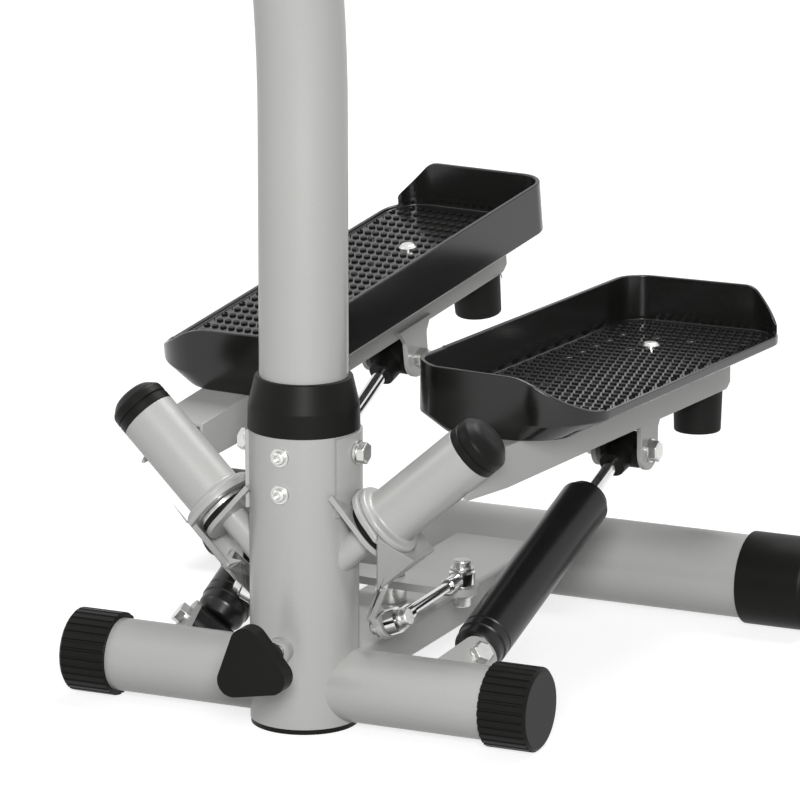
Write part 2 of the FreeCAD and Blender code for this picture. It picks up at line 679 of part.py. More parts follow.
def make_crank_bracket(side, label):
    """Folded plate on the pivot: ring, outer fold, cheek and the arm to the tie rod."""
    base = lift(side).multiply(pivot_frame(side))
    start = crank_start()
    radius = size("crank_plate_radius")
    fold = size("crank_fold_reach")
    thick = size("crank_plate_thickness")
    ring = plate("crank_ring_" + label,
                 [(-side * radius, -radius, radius * 0.9), (side * 8, -radius - 3, 2),
                  (side * fold, -3, 3), (side * fold, 38, 8), (side * 14, 38, 8),
                  (side * 4, radius, 4), (-side * radius, radius, radius * 0.9)],
                 "Sizes.crank_plate_thickness * 1 mm", base, start)
    drop = 34.0
    outer_fold = plate("crank_fold_" + label,
                       [(-3, 0, 0), (38, 0, 0), (34, -14, 6), (12, -drop, 4), (-3, -drop, 0)],
                       "Sizes.crank_plate_thickness * 1 mm",
                       base.multiply(Placement(Vector(side * (fold - thick) if side > 0 else
                                                      -fold, 0, start + thick),
                                               Rotation(Vector(1, 1, 1), 120))))
    corner_a = Vector(side * 8.0, -radius - 3, start + thick)
    corner_b = Vector(side * fold, -3.0, start + thick)
    run = (corner_b - corner_a).normalize()
    inward = Vector(-side * abs(run.y), abs(run.x), 0)
    cheek_place = App.Matrix(run.x, 0, inward.x, corner_a.x, run.y, 0, inward.y, corner_a.y,
                             0, 1, 0, corner_a.z, 0, 0, 0, 1)
    cheek_frame = Placement(cheek_place)
    if side > 0:
        cheek_frame = Placement(App.Matrix(run.x, 0, -inward.x, corner_a.x + inward.x * thick,
                                           run.y, 0, -inward.y, corner_a.y + inward.y * thick,
                                           0, 1, 0, corner_a.z, 0, 0, 0, 1))
    span = (corner_b - corner_a).Length
    cheek = plate("crank_cheek_" + label, [(0, 0, 0), (span, 0, 0), (span, -drop, 0)],
                  "Sizes.crank_plate_thickness * 1 mm", base.multiply(cheek_frame))
    ball = sided(CRANK_BALL, side)
    axis = sided(CRANK_STUD_AXIS, side).normalize()
    boss_place = lift(side).multiply(frame_at(ball, axis))
    boss = cylinder("crank_boss_" + label, "10 mm", "5 mm",
                    boss_place.multiply(shift(0, 0, -11)))
    from_point = pivot_frame(side).multVec(Vector(side * (fold - thick / 2), 3,
                                                  start + thick - drop + 6))
    seat = ball - axis * 8.5
    toward = from_point - seat
    toward = (toward - axis * axis.dot(toward)).normalize()
    tongue = plate("crank_tongue_" + label, [(-8, 0, 0), (8, 0, 0), (7, 16, 2), (-7, 16, 2)],
                   "5 mm", lift(side).multiply(frame_at(seat, axis, toward)), -2.5)
    corner = seat + toward * 14
    along = from_point - corner
    square = axis - along * (axis.dot(along) / along.dot(along))
    strap = plate("crank_strap_" + label, [(-7, -5, 2), (7, -5, 2), (7, along.Length + 2, 3),
                                           (-7, along.Length + 2, 3)], "5 mm",
                  lift(side).multiply(frame_at(corner, square, along)), -2.5)
    stud_hole = cylinder("crank_stud_hole_" + label, "Sizes.stud_diameter / 2 * 1 mm", "30 mm",
                         boss_place.multiply(shift(0, 0, -20)))
    hole = cylinder("crank_axle_hole_" + label,
                    "(Sizes.axle_diameter / 2 + Sizes.face_gap) * 1 mm", "20 mm",
                    base.multiply(shift(0, 0, start - 5)))
    body = join("crank_body_" + label, [ring, outer_fold, cheek, strap, tongue, boss])
    node("crank_bracket_" + label, cut_all("crank_" + label, body, [hole, stud_hole]))
    shank = size("stud_diameter") / 2
    washer = size("rod_eye_width") / 2 + size("rod_eye_side_gap")
    profile = [(0, -17, 0), (6, -17, 1), (6, -12.6, 0), (9, -12.6, 0), (9, -11, 0),
               (shank, -11, 0), (shank, washer, 0), (7.4, washer, 0), (7.4, washer + 1.6, 0),
               (6.2, washer + 1.6, 0), (6.2, washer + 6.4, 1.2), (0, washer + 6.4, 0)]
    node("crank_stud_" + label, turned("crank_stud_" + label, profile, boss_place))


def make_pivot_tube(side, label):
    base = lift(side).multiply(pivot_frame(side))
    start = crank_start() + size("crank_plate_thickness")
    end = start + size("pivot_tube_length")
    outer = size("pivot_tube_diameter") / 2
    bore = outer - size("pivot_tube_wall")
    axle = size("axle_diameter") / 2 + size("running_gap")
    nut = size("axle_end") - 1.0
    profile = [(axle, start, 0), (outer + 6, start, 1), (outer + 6, start + 4, 2),
               (outer, start + 5.5, 2), (outer, end, 0.5), (bore, end, 0), (bore, nut, 0),
               (axle, nut, 0), (axle, nut - 10, 0), (bore, nut - 10, 0), (bore, start + 14, 0),
               (axle, start + 14, 0)]
    node("pivot_tube_" + label, turned("pivot_tube_" + label, profile, base))
    rise = size("pivot_cap_rise")
    profile = [(0, end - 2, 0), (bore, end - 2, 0), (bore, end, 0), (outer, end, 0.4),
               (outer, end + 5.2, 0.4), (outer - 0.9, end + 5.8, 0), (outer - 0.9, end + 6.6, 0),
               (outer, end + 7.2, 0.4), (outer - 0.3, end + 13, 4), (outer - 7, end + 19.5, 10),
               (0, end + rise, 0)]
    node("pivot_cap_" + label, turned("pivot_cap_" + label, profile, base))


def tray_outline(side, inset):
    """Tray outline in its own frame, set in by a distance; the outer corners are rounder."""
    half = size("tray_width") / 2 - inset
    far = size("tray_length") - inset
    return [(-side * half, inset, 22 - inset), (side * half, inset, 45 - inset),
            (side * half, far, 30 - inset), (-side * half, far, 22 - inset)]


def tapered(name, lower, low_level, upper, high_level):
    """Solid between two outlines at two heights."""
    rings = []
    for index, (corners, height) in enumerate(((lower, low_level), (upper, high_level))):
        sketch = doc.addObject("Sketcher::SketchObject", "%s_ring_%d" % (name, index))
        rounded_outline(sketch, corners)
        sketch.Placement = shift(0, 0, height)
        rings.append(sketch)
    item = doc.addObject("Part::Loft", name)
    item.Sections = rings
    item.Solid = True
    item.Ruled = True
    return item


def make_tray(side, label):
    """Open foot tray: high inner, front and rear walls, low outer lip, hull-shaped base."""
    base = lift(side).multiply(tray_frame(side))
    length = size("tray_length")
    floor = size("tray_floor")
    low = size("tray_low_wall")
    high = size("tray_wall_height")
    depth = size("tray_base_depth")
    outer = plate("tray_outer_" + label, tray_outline(side, 0), "Sizes.tray_wall_height * 1 mm")
    keel = [(-side * 47, 1.0, 24), (side * 42, 1.0, 34), (side * 42, length - 8, 26),
            (-side * 47, length - 8, 20)]
    hull = tapered("tray_hull_" + label, keel, -depth, tray_outline(side, 0), 0)
    hollow = plate("tray_hollow_" + label, tray_outline(side, size("tray_wall")),
                   "Sizes.tray_wall_height * 1 mm", None, floor)
    across = "300 mm"
    front = plate("tray_front_cut_" + label,
                  [(-side * 66, high, 0), (-side * 46, high - 3.2, 30), (side * 20, 31.6, 45),
                   (side * 64, low, 20), (side * 90, low, 0), (side * 90, high + 20, 0),
                   (-side * 66, high + 20, 0)], "90 mm",
                  Placement(Vector(0, 50, 0), Rotation(Vector(1, 0, 0), 90)))
    middle = plate("tray_middle_cut_" + label,
                   [(side * 52, low, 0), (side * 90, low, 0), (side * 90, high + 20, 0),
                    (side * 52, high + 20, 0)], across,
                   Placement(Vector(0, 340, 0), Rotation(Vector(1, 0, 0), 90)))
    rear = plate("tray_rear_cut_" + label,
                 [(side * 10, high + 0.4, 0), (side * 36, high - 0.2, 14), (side * 65, low, 12),
                  (side * 90, low, 0), (side * 90, high + 20, 0), (side * 10, high + 20, 0)],
                 "60 mm", Placement(Vector(0, 380, 0), Rotation(Vector(1, 0, 0), 90)))
    pocket_inner = plate("tray_pocket_inner_" + label,
                         [(-side * 44, 30, 8), (-side * 27, 30, 8), (-side * 27, length - 36, 8),
                          (-side * 44, length - 36, 8)], "Sizes.tray_base_depth * 1 mm", None,
                         -depth)
    pocket_outer = plate("tray_pocket_outer_" + label,
                         [(side * 22, 40, 8), (side * 39, 40, 8), (side * 39, length - 40, 8),
                          (side * 22, length - 40, 8)], "Sizes.tray_base_depth * 1 mm", None,
                         -depth)
    screw_hole = cylinder("tray_screw_hole_" + label, "3 mm", "40 mm", TRAY_SCREW)
    shell = join("tray_blank_" + label, [outer, hull])
    body = cut_all("tray_shell_" + label, shell,
                   [hollow, middle, front, rear, pocket_inner, pocket_outer, screw_hole])
    dots = []
    for row in range(12):
        for column in range(4):
            dots.append(shift(-side * 41 + side * column * 27, 40 + row * 23, floor - 0.5))
    studs = [cylinder("tray_dot_%s_%d" % (label, index), "2.4 mm", "1.7 mm", spot)
             for index, spot in enumerate(dots)]
    node("pedal_tray_" + label, join("tray_" + label, [body] + studs, base))
    profile = [(0, -depth - 5, 0), (3, -depth - 5, 0.5), (3, floor, 0), (6.5, floor, 0),
               (6.5, floor + 1.4, 0), (4.5, floor + 3.4, 1.5), (0, floor + 3.4, 0)]
    spot = Placement(Vector(TRAY_SCREW.Base.x, TRAY_SCREW.Base.y, 0), Rotation())
    node("tray_screw_" + label, turned("tray_screw_" + label, profile, base.multiply(spot)))


TRAY_SCREW = shift(-4.5, 262, -30)


def make_arm(side, label):
    """Folded channel under the tray, coped round the pivot tube, with two lugs."""
    tray = tray_frame(side)
    base = lift(side).multiply(tray)
    wall = size("arm_wall")
    top = -size("tray_base_depth")
    low = -size("arm_bottom")
    inner = size("arm_inner")
    outer = size("arm_outer")
    rear = size("arm_rear")
    plan = [(-side * inner, -90, 0), (side * outer, -90, 0), (side * outer, rear, 3),
            (-side * inner, rear, 3)]
    hollow = [(-side * (inner - wall), -90, 0), (side * (outer - wall), -90, 0),
              (side * (outer - wall), rear - wall, 0), (-side * (inner - wall), rear - wall, 0)]
    block = plate("arm_plan_" + label, plan, "60 mm", None, -60)
    side_view = [(-80, low + 3.5, 0), (-15, low, 0), (rear - 8, low, 7), (rear + 5, low + 9, 3),
                 (rear + 5, top, 0), (-56, top, 0), (-60, top - 14, 0)]
    slab = plate("arm_slab_" + label, side_view, "120 mm",
                 Placement(Vector(-60, 0, 0), Rotation(Vector(1, 1, 1), 120)))
    shell = common("arm_block_" + label, block, slab)
    channel = plate("arm_channel_" + label, hollow, "60 mm", None, top - wall - 60)
    head = tray.inverse().multVec(sided(DAMPER_HEAD, side))
    lug_low = size("upper_lug_offset")
    lug_end = lug_low + size("lug_thickness")
    radius = size("lug_radius")
    lugs = []
    for index, start in enumerate((lug_low, -lug_end)):
        corners = [(head.y - radius, head.z - radius, radius * 0.999),
                   (head.y + radius, head.z - radius, radius * 0.999),
                   (head.y + radius, low - 5, 5), (head.y + radius + 8, low + 6, 0),
                   (head.y - radius - 8, low + 6, 0), (head.y - radius, low - 5, 5)]
        lugs.append(plate("arm_lug_%s_%d" % (label, index), corners,
                          "Sizes.lug_thickness * 1 mm",
                          Placement(Vector(head.x + start, 0, 0), Rotation(Vector(1, 1, 1), 120))))
    reach = size("bumper_reach")
    rib = plate("arm_bumper_plate_" + label,
                [(-side * (inner - 1), reach - 22, 0), (side * (outer - 1), reach - 22, 0),
                 (side * (outer - 1), rear - 9, 2), (-side * (inner - 1), rear - 9, 2)], "3 mm",
                None, low)
    bolt_hole = cylinder("arm_bolt_hole_" + label, "Sizes.damper_bolt_diameter / 2 * 1 mm",
                         "120 mm", Placement(Vector(head.x - 60, head.y, head.z), ALONG_X))
    screw_hole = cylinder("arm_screw_hole_" + label, "3 mm", "40 mm", TRAY_SCREW)
    tube_place = tray.inverse().multiply(pivot_frame(side))
    start = crank_start() + size("crank_plate_thickness")
    cope = cylinder("arm_cope_" + label, "Sizes.pivot_tube_diameter / 2 * 1 mm", "140 mm",
                    tube_place.multiply(shift(0, 0, start - 20)))
    flange = cylinder("arm_flange_cope_" + label, "(Sizes.pivot_tube_diameter / 2 + 6) * 1 mm",
                      "45 mm", tube_place.multiply(shift(0, 0, start - 40)))
    ahead = plate("arm_ahead_" + label, [(-80, -90, 0), (80, -90, 0), (80, -10, 0), (-80, -10, 0)],
                  "200 mm", tube_place)
    inboard = plate("arm_inboard_" + label,
                    [(-side * 90, -60, 0), (-side * 18, -60, 0), (-side * 18, 12, 0),
                     (-side * 90, 12, 0)], "260 mm", tube_place)
    body = cut("arm_hollowed_" + label, shell, channel)
    full = join("arm_joined_" + label, [body, rib] + lugs)
    node("pedal_arm_" + label, cut_all("arm_" + label, full,
                                       [bolt_hole, screw_hole, cope, flange, ahead, inboard], base))
    shank = size("damper_bolt_diameter") / 2
    end = lug_end
    profile = [(0, -end - 7, 0), (6.5, -end - 7, 1), (6.5, -end, 0), (shank, -end, 0),
               (shank, end, 0), (8.5, end, 0), (8.5, end + 1.6, 0), (6.5, end + 1.6, 0),
               (6.5, end + 7, 1), (0, end + 7, 0)]
    place = base.multiply(Placement(head, Rotation(Vector(0, 1, 0), 90 * side)))
    node("damper_upper_bolt_" + label, turned("damper_upper_bolt_" + label, profile, place))
    seat = low
    foot = seat - size("bumper_length")
    wide = size("bumper_radius")
    profile = [(0, foot, 0), (wide - 1, foot, 2), (wide, seat, 0.5), (0, seat, 0)]
    node("pedal_bumper_" + label,
         turned("bumper_" + label, profile, base.multiply(shift(-side * 2.5, reach, 0))))


def make_damper(side, label):
    foot = sided(DAMPER_FOOT, side)
    head = lift(side).multVec(sided(DAMPER_HEAD, side))
    down_foot_axis = sided(damper_foot_axis(), side)
    rest_axis = down_foot_axis
    along = head - foot
    rest_axis = (rest_axis - along * (rest_axis.dot(along) / along.dot(along))).normalize()
    length = along.Length
    line = frame_at(foot, along, rest_axis)
    radius = size("damper_barrel_radius")
    start = size("damper_barrel_start")
    end = size("damper_barrel_end")
    rod = size("damper_rod_diameter") / 2
    bore = rod + 0.05
    profile = [(0, 12, 0), (11, 12, 3), (radius - 1, 20, 6), (radius - 1, start - 8, 1),
               (radius, start - 7, 0), (radius, start - 1, 0.8), (radius - 0.7, start, 0),
               (radius, start + 1, 0.5), (radius, end - 2, 1.5), (radius - 3, end, 0.5),
               (radius - 3, end + 4, 1), (bore, end + 4, 0), (bore, start + 10, 0),
               (0, start + 10, 0)]
    barrel = turned("barrel_" + label, profile)
    eye = cylinder("barrel_eye_" + label, "Sizes.damper_eye_radius * 1 mm", "30 mm",
                   Placement(Vector(0, 15, 0), Rotation(Vector(1, 0, 0), 90)))
    pin = cylinder("barrel_pin_hole_" + label,
                   "(Sizes.damper_bolt_diameter / 2 + Sizes.running_gap) * 1 mm", "60 mm",
                   Placement(Vector(0, 30, 0), Rotation(Vector(1, 0, 0), 90)))
    node("damper_barrel_" + label,
         cut("barrel_cut_" + label, join("barrel_body_" + label, [barrel, eye]), pin, line))
    profile = [(0, start + 60, 0), (rod, start + 60, 1), (rod, length - 9, 0), (0, length - 9, 0)]
    if side < 0:
        profile = [(0, start + 90, 0), (rod, start + 90, 1), (rod, length - 9, 0),
                   (0, length - 9, 0)]
    node("damper_rod_" + label, turned("damper_rod_" + label, profile, line))
    tray_axis = lift(side).multiply(tray_frame(side)).Rotation.multVec(Vector(1, 0, 0))
    across = (tray_axis - along * (tray_axis.dot(along) / along.dot(along))).normalize()
    head_frame = frame_at(head, along, across)
    half = size("upper_lug_offset") - size("upper_eye_side_gap")
    round_eye = cylinder("head_eye_" + label, "Sizes.damper_eye_radius * 1 mm",
                         "(Sizes.upper_lug_offset - Sizes.upper_eye_side_gap) * 2 mm",
                         Placement(Vector(0, half, 0), Rotation(Vector(1, 0, 0), 90)))
    neck = turned("head_neck_" + label, [(rod, -22, 0), (rod + 4.5, -22, 1), (rod + 6.5, -6, 0),
                                         (0, -6, 0), (0, -9, 0), (rod, -9, 0)])
    bolt = cylinder("head_bolt_hole_" + label,
                    "(Sizes.damper_bolt_diameter / 2 + Sizes.upper_eye_play) * 1 mm", "60 mm",
                    Placement(Vector(0, 30, 0), Rotation(Vector(1, 0, 0), 90)))
    rod_hole = cylinder("head_rod_hole_" + label, "Sizes.damper_rod_diameter / 2 * 1 mm", "31 mm",
                        shift(0, 0, -40))
    node("damper_head_" + label,
         cut_all("damper_head_" + label, join("head_body_" + label, [round_eye, neck]),
                 [bolt, rod_hole], head_frame))
    shank = size("damper_bolt_diameter") / 2
    edge = size("lower_lug_offset") + size("lug_thickness")
    profile = [(0, -edge - 7, 0), (6.5, -edge - 7, 1), (6.5, -edge, 0), (shank, -edge, 0),
               (shank, edge, 0), (7.6, edge, 0), (7.6, edge + 1.4, 0), (6.5, edge + 1.4, 0),
               (6.5, edge + 6, 1), (0, edge + 6, 0)]
    node("damper_lower_bolt_" + label,
         turned("damper_lower_bolt_" + label, profile, frame_at(foot, down_foot_axis)))


# ---- rocker and tie rods -----------------------------------------------------------

def make_rocker(angle):
    half = size("rocker_half_length")
    wide = size("rocker_width") / 2
    place = Placement(rocker_centre(), Rotation(Vector(0, 0, 1), angle))
    outline = [(-half - 11, -11, 10.9), (-22, -wide, 12), (22, -wide, 12), (half + 11, -11, 10.9),
               (half + 11, 11, 10.9), (22, wide, 12), (-22, wide, 12), (-half - 11, 11, 10.9)]
    bar = plate("rocker_plate", outline, "Sizes.rocker_thickness * 1 mm")
    holes = [cylinder("rocker_hole", "6 mm", "20 mm", shift(0, 0, -5))]
    for side in (1, -1):
        holes.append(cylinder("rocker_stud_hole_%d" % side, "Sizes.stud_diameter / 2 * 1 mm",
                              "20 mm", shift(side * half, 0, -5)))
    node("rocker_bar", cut_all("rocker", bar, holes, place))
    shank = size("stud_diameter") / 2
    thick = size("rocker_thickness")
    eye = size("rod_eye_width")
    top = thick + eye + 2 * size("rod_eye_side_gap")
    for side, label in ((1, "right"), (-1, "left")):
        profile = [(0, -9, 0), (6, -9, 1), (6, -1.6, 0), (8.5, -1.6, 0), (8.5, 0, 0),
                   (shank, 0, 0), (shank, thick, 0), (7, thick, 0), (7, thick + 0.6, 0),
                   (shank, thick + 0.6, 0), (shank, top, 0), (8.5, top, 0), (8.5, top + 1.6, 0),
                   (6.2, top + 1.6, 0), (6.2, top + 7, 1.2), (0, top + 7, 0)]
        node("rocker_stud_" + label,
             turned("rocker_stud_" + label, profile,
                    place.multiply(shift(side * half, 0, 0))))


def make_tie_rod(side, label, angle):
    front = crank_ball(side)
    rear = rocker_ball(side, angle)
    along = rear - front
    length = along.Length
    direction = Vector(along).normalize()
    stud = lift(side).Rotation.multVec(sided(CRANK_STUD_AXIS, side)).normalize()
    rod = cylinder("rod_bar_" + label, "Sizes.rod_diameter / 2 * 1 mm", "%s mm" % (length - 14),
                   frame_at(front + direction * 7, along))
    width = size("rod_eye_width")
    front_eye = cylinder("rod_front_eye_" + label, "Sizes.rod_eye_radius * 1 mm",
                         "Sizes.rod_eye_width * 1 mm",
                         frame_at(front - stud * (width / 2), stud))
    up = Vector(0, 0, 1)
    rear_eye = cylinder("rod_rear_eye_" + label, "Sizes.rod_eye_radius * 1 mm",
                        "Sizes.rod_eye_width * 1 mm", frame_at(rear - up * (width / 2), up))
    sockets = [turned("rod_socket_%s_%d" % (label, index),
                      [(0, 7, 0), (4.6, 7, 0), (5.4, 11, 1), (5.4, 26, 1), (0, 26, 0)], frame_at(origin, way))
               for index, (origin, way) in enumerate(((front, direction), (rear, -direction)))]
    front_hole = cylinder("rod_front_hole_" + label,
                          "(Sizes.stud_diameter / 2 + Sizes.stud_play) * 1 mm", "40 mm",
                          frame_at(front - stud * 20, stud))
    rear_hole = cylinder("rod_rear_hole_" + label,
                         "(Sizes.stud_diameter / 2 + 0.7) * 1 mm", "40 mm",
                         frame_at(rear - up * 20, up))
    body = join("rod_body_" + label, [rod, front_eye, rear_eye] + sockets)
    node("tie_rod_" + label, cut_all("rod_" + label, body, [front_hole, rear_hole]))


# ---- knob --------------------------------------------------------------------------

def make_knob():
    face = size("knob_face")
    level = size("knob_height")
    thick = size("knob_thickness")
    reach = size("knob_size")
    toward_front = Placement(Vector(0, -face + thick, level), Rotation(Vector(1, 0, 0), 90))
    corners = []
    for index in range(3):
        angle = math.radians(100 + 120 * index)
        corners.append((reach * 1.42 * math.cos(angle), reach * 1.42 * math.sin(angle), 11))
    wing = plate("knob_wing", corners, "Sizes.knob_thickness * 1 mm", toward_front)
    shank = size("knob_screw_diameter") / 2
    neck_end = face - thick - size("column_diameter") / 2 - 6 - 9
    neck = turned("knob_neck", [(0, -neck_end, 0), (9.5, -neck_end, 1), (11.5, 1, 0), (0, 1, 0)],
                  toward_front)
    hole = cylinder("knob_screw_hole", "Sizes.knob_screw_diameter / 2 * 1 mm", "40 mm",
                    Placement(Vector(0, -face + 6, level), ALONG_Y))
    node("adjuster_knob", cut("knob", join("knob_body", [wing, neck]), hole))
    start = face - 6
    tip = size("column_diameter") / 2 - 6
    profile = [(0, -start, 0), (shank, -start, 0), (shank, -tip, 0.8), (0, -tip, 0)]
    node("adjuster_screw", turned("knob_screw", profile,
                                  Placement(Vector(0, 0, level), ALONG_Y)))
    profile = [(0, -tip, 0), (4.6, -tip, 0), (4.6, -tip + 3, 0.8), (0, -tip + 3, 0)]
    node("adjuster_pad", turned("knob_pad", profile, Placement(Vector(0, 0, level), ALONG_Y)))


make_foot_plug()
make_column()
make_collar()
make_post()
make_column_screws()
make_front_stabilizer()
make_front_caps()
make_beam()
make_rear_stabilizer()
make_saddle()
make_thrust_rings()
make_rocker_pivot()
make_handlebar()
rest_angle = rocker_rest_angle()
make_rocker(rest_angle)
for pedal_side, pedal_label in ((1, "right"), (-1, "left")):
    make_crank_bracket(pedal_side, pedal_label)
    make_pivot_tube(pedal_side, pedal_label)
    make_tray(pedal_side, pedal_label)
    make_arm(pedal_side, pedal_label)
    make_damper(pedal_side, pedal_label)
    make_tie_rod(pedal_side, pedal_label, rest_angle)
make_knob()

doc.recompute()
for item in doc.Objects:
    if "Invalid" in item.State or "Error" in item.State:
        raise RuntimeError("object %s failed: %s" % (item.Name, item.State))
for item in NODES:
    if item.Shape.isNull() or not item.Shape.isValid():
        raise RuntimeError("bad shape in " + item.Label)
    if len(item.Shape.Solids) != 1:
        print("solids", item.Label, len(item.Shape.Solids))
    item.Shape.exportStep("parts/%s.step" % item.Label)
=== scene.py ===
import math

import bpy
from mathutils import Matrix, Vector


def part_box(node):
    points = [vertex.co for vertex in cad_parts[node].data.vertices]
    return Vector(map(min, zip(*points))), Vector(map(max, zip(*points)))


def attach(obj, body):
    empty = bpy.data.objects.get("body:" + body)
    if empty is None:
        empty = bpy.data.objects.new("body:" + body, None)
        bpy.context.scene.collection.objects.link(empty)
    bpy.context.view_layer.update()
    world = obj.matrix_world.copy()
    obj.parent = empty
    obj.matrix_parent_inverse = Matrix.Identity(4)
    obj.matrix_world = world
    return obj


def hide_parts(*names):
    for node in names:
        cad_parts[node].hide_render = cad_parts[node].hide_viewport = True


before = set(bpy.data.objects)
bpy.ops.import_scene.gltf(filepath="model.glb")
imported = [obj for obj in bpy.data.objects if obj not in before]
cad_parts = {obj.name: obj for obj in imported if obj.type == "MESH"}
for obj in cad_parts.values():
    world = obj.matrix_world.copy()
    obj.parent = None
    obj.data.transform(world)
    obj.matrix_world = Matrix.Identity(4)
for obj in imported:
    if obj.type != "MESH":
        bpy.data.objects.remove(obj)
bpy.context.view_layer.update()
bpy.ops.object.select_all(action="DESELECT")

# ---- Camera, floor and lamps -----------------------------------------------------
# The stepper stands on a pale floor with a white surround. One wide soft lamp stands
# beside the viewer, a weaker one fills the left, and one hangs above.

back = Vector((0.40618, -0.88064, 0.24411)).normalized()
right = Vector((0.90805, 0.41884, 0.0003)).normalized()
turn = Matrix((right, back.cross(right), back)).transposed().to_4x4()
bpy.ops.object.camera_add()
camera = bpy.context.object
camera.name = "view"
camera.matrix_world = Matrix.Translation((1.6894, -3.5094, 1.2035)) @ turn
camera.data.sensor_width = 36
camera.data.lens = 270
bpy.context.scene.camera = camera


class Shade:
    """One value or colour in a material; sums written on it add the nodes that do them."""

    def __init__(self, tree, socket=None):
        self.tree = tree
        self.socket = socket

    def node(self, kind, settings=None, inputs=None, output=0):
        made = self.tree.nodes.new(kind)
        for key, value in (settings or {}).items():
            if key == "stops":
                steps = made.color_ramp.elements
                while len(steps) < len(value):
                    steps.new(0.5)
                for step, (place, colour) in zip(steps, value):
                    step.position = place
                    step.color = colour
            else:
                setattr(made, key, value)
        for key, value in (inputs or {}).items():
            if isinstance(value, Shade):
                self.tree.links.new(value.socket, made.inputs[key])
            else:
                made.inputs[key].default_value = value
        return Shade(self.tree, made.outputs[output])

    def work(self, operation, first, second=0.0):
        return self.node("ShaderNodeMath", {"operation": operation}, {0: first, 1: second})

    def __add__(self, other):
        return self.work("ADD", self, other)

    def __mul__(self, other):
        return self.work("MULTIPLY", self, other)

    def __sub__(self, other):
        return self.work("SUBTRACT", self, other)

    def __rsub__(self, other):
        return self.work("SUBTRACT", other, self)

    __radd__ = __add__
    __rmul__ = __mul__

    def place(self):
        """Where a point is on the object, in metres."""
        return self.node("ShaderNodeTexCoord", output="Object")

    def noise(self, scale, detail=2.0, at=None):
        """Cloudy noise from 0 to 1; scale is in clouds per metre."""
        return self.node("ShaderNodeTexNoise", None,
                         {"Vector": at or self.place(), "Scale": scale, "Detail": detail})

    def between(self, share, first, second):
        """A colour between two, by share."""
        return self.node("ShaderNodeMix", {"data_type": "RGBA"},
                         {0: share, 6: first, 7: second}, 2)

    def bump(self, height, strength, distance):
        return self.node("ShaderNodeBump", None,
                         {"Height": height, "Strength": strength, "Distance": distance})


def finish(name, pattern, **fixed):
    """A material; pattern gives what varies over the surface, fixed what doesn't."""
    material = bpy.data.materials.new(name)
    material.use_nodes = True
    tree = material.node_tree
    shader = tree.nodes["Principled BSDF"]
    for key, value in fixed.items():
        shader.inputs[key.replace("_", " ")].default_value = value
    for key, value in pattern(Shade(tree)).items():
        tree.links.new(value.socket, shader.inputs[key])
    return material


def seen_white(tree, plain, light):
    """Mixes a shader with a white glow for the rays that see it straight or mirrored."""
    shade = Shade(tree)
    camera_ray = shade.node("ShaderNodeLightPath", output="Is Camera Ray")
    glossy_ray = shade.node("ShaderNodeLightPath", output="Is Glossy Ray")
    clear_ray = shade.node("ShaderNodeLightPath", output="Is Transmission Ray")
    seen = shade.work("MINIMUM", camera_ray + glossy_ray + clear_ray, 1.0)
    return shade.node("ShaderNodeMixShader", None, {0: seen, 1: plain, 2: light})


bpy.ops.mesh.primitive_plane_add(size=14, location=(0, 0, 0))
floor = bpy.context.object
floor.name = "studio_floor"
paper = bpy.data.materials.new("studio_paper")
paper.use_nodes = True
sheet_shade = Shade(paper.node_tree)
matt = paper.node_tree.nodes["Principled BSDF"]
matt.inputs["Roughness"].default_value = 0.9
matt.inputs["Specular IOR Level"].default_value = 0.1
grain = sheet_shade.noise(40, 3)
paper_colour = sheet_shade.between(grain, (0.33, 0.33, 0.33, 1), (0.37, 0.37, 0.37, 1))
paper.node_tree.links.new(paper_colour.socket, matt.inputs["Base Color"])
reach = sheet_shade.node("ShaderNodeVectorMath", {"operation": "LENGTH"},
                         {0: sheet_shade.place()}, 1)
fade = sheet_shade.work("MINIMUM", sheet_shade.work("MAXIMUM", reach * 0.6 - 0.5, 0.0), 1.0)
glow_colour = sheet_shade.between(fade, (0.78, 0.78, 0.78, 1), (1, 1, 1, 1))
glow = sheet_shade.node("ShaderNodeEmission", None, {"Color": glow_colour, "Strength": 1.0})
both = sheet_shade.node("ShaderNodeAddShader", None,
                        {0: Shade(paper.node_tree, matt.outputs[0]), 1: glow})
seen_paper = seen_white(paper.node_tree, Shade(paper.node_tree, matt.outputs[0]), both)
paper.node_tree.links.new(seen_paper.socket, paper.node_tree.nodes["Material Output"].inputs[0])
floor.data.materials.append(paper)

room = bpy.data.worlds.new("room")
bpy.context.scene.world = room
room.use_nodes = True
room_tree = room.node_tree
room_shade = Shade(room_tree)
dim = room_shade.node("ShaderNodeBackground", None, {"Color": (1, 1, 1, 1), "Strength": 0.16})
white = room_shade.node("ShaderNodeBackground", None, {"Color": (1, 1, 1, 1), "Strength": 1.0})
seen_room = seen_white(room_tree, dim, white)
room_tree.links.new(seen_room.socket, room_tree.nodes["World Output"].inputs[0])


def lamp(name, place, aim, width, power):
    """A square soft lamp that faces a point."""
    bpy.ops.object.light_add(type="AREA", location=place)
    made = bpy.context.object
    made.name = name
    made.data.energy = power
    made.data.size = width
    made.rotation_euler = (Vector(aim) - Vector(place)).to_track_quat("-Z", "Y").to_euler()


lamp("lamp_viewer", (1.2, -2.4, 1.3), (0, 0, 0.3), 0.7, 74)
lamp("lamp_left", (-2.2, -1.0, 1.6), (0, 0, 0.3), 1.2, 10)
lamp("lamp_above", (0.2, 1.1, 2.2), (0, 0.25, 0.1), 1.0, 40)
bpy.context.scene.view_settings.view_transform = "Standard"


# ---- Silver painted tubes ----------------------------------------------------------
# Column, base tubes, beam and post are steel tube, welded and sprayed with a satin
# silver paint that has fine metal flakes and a slight orange peel.

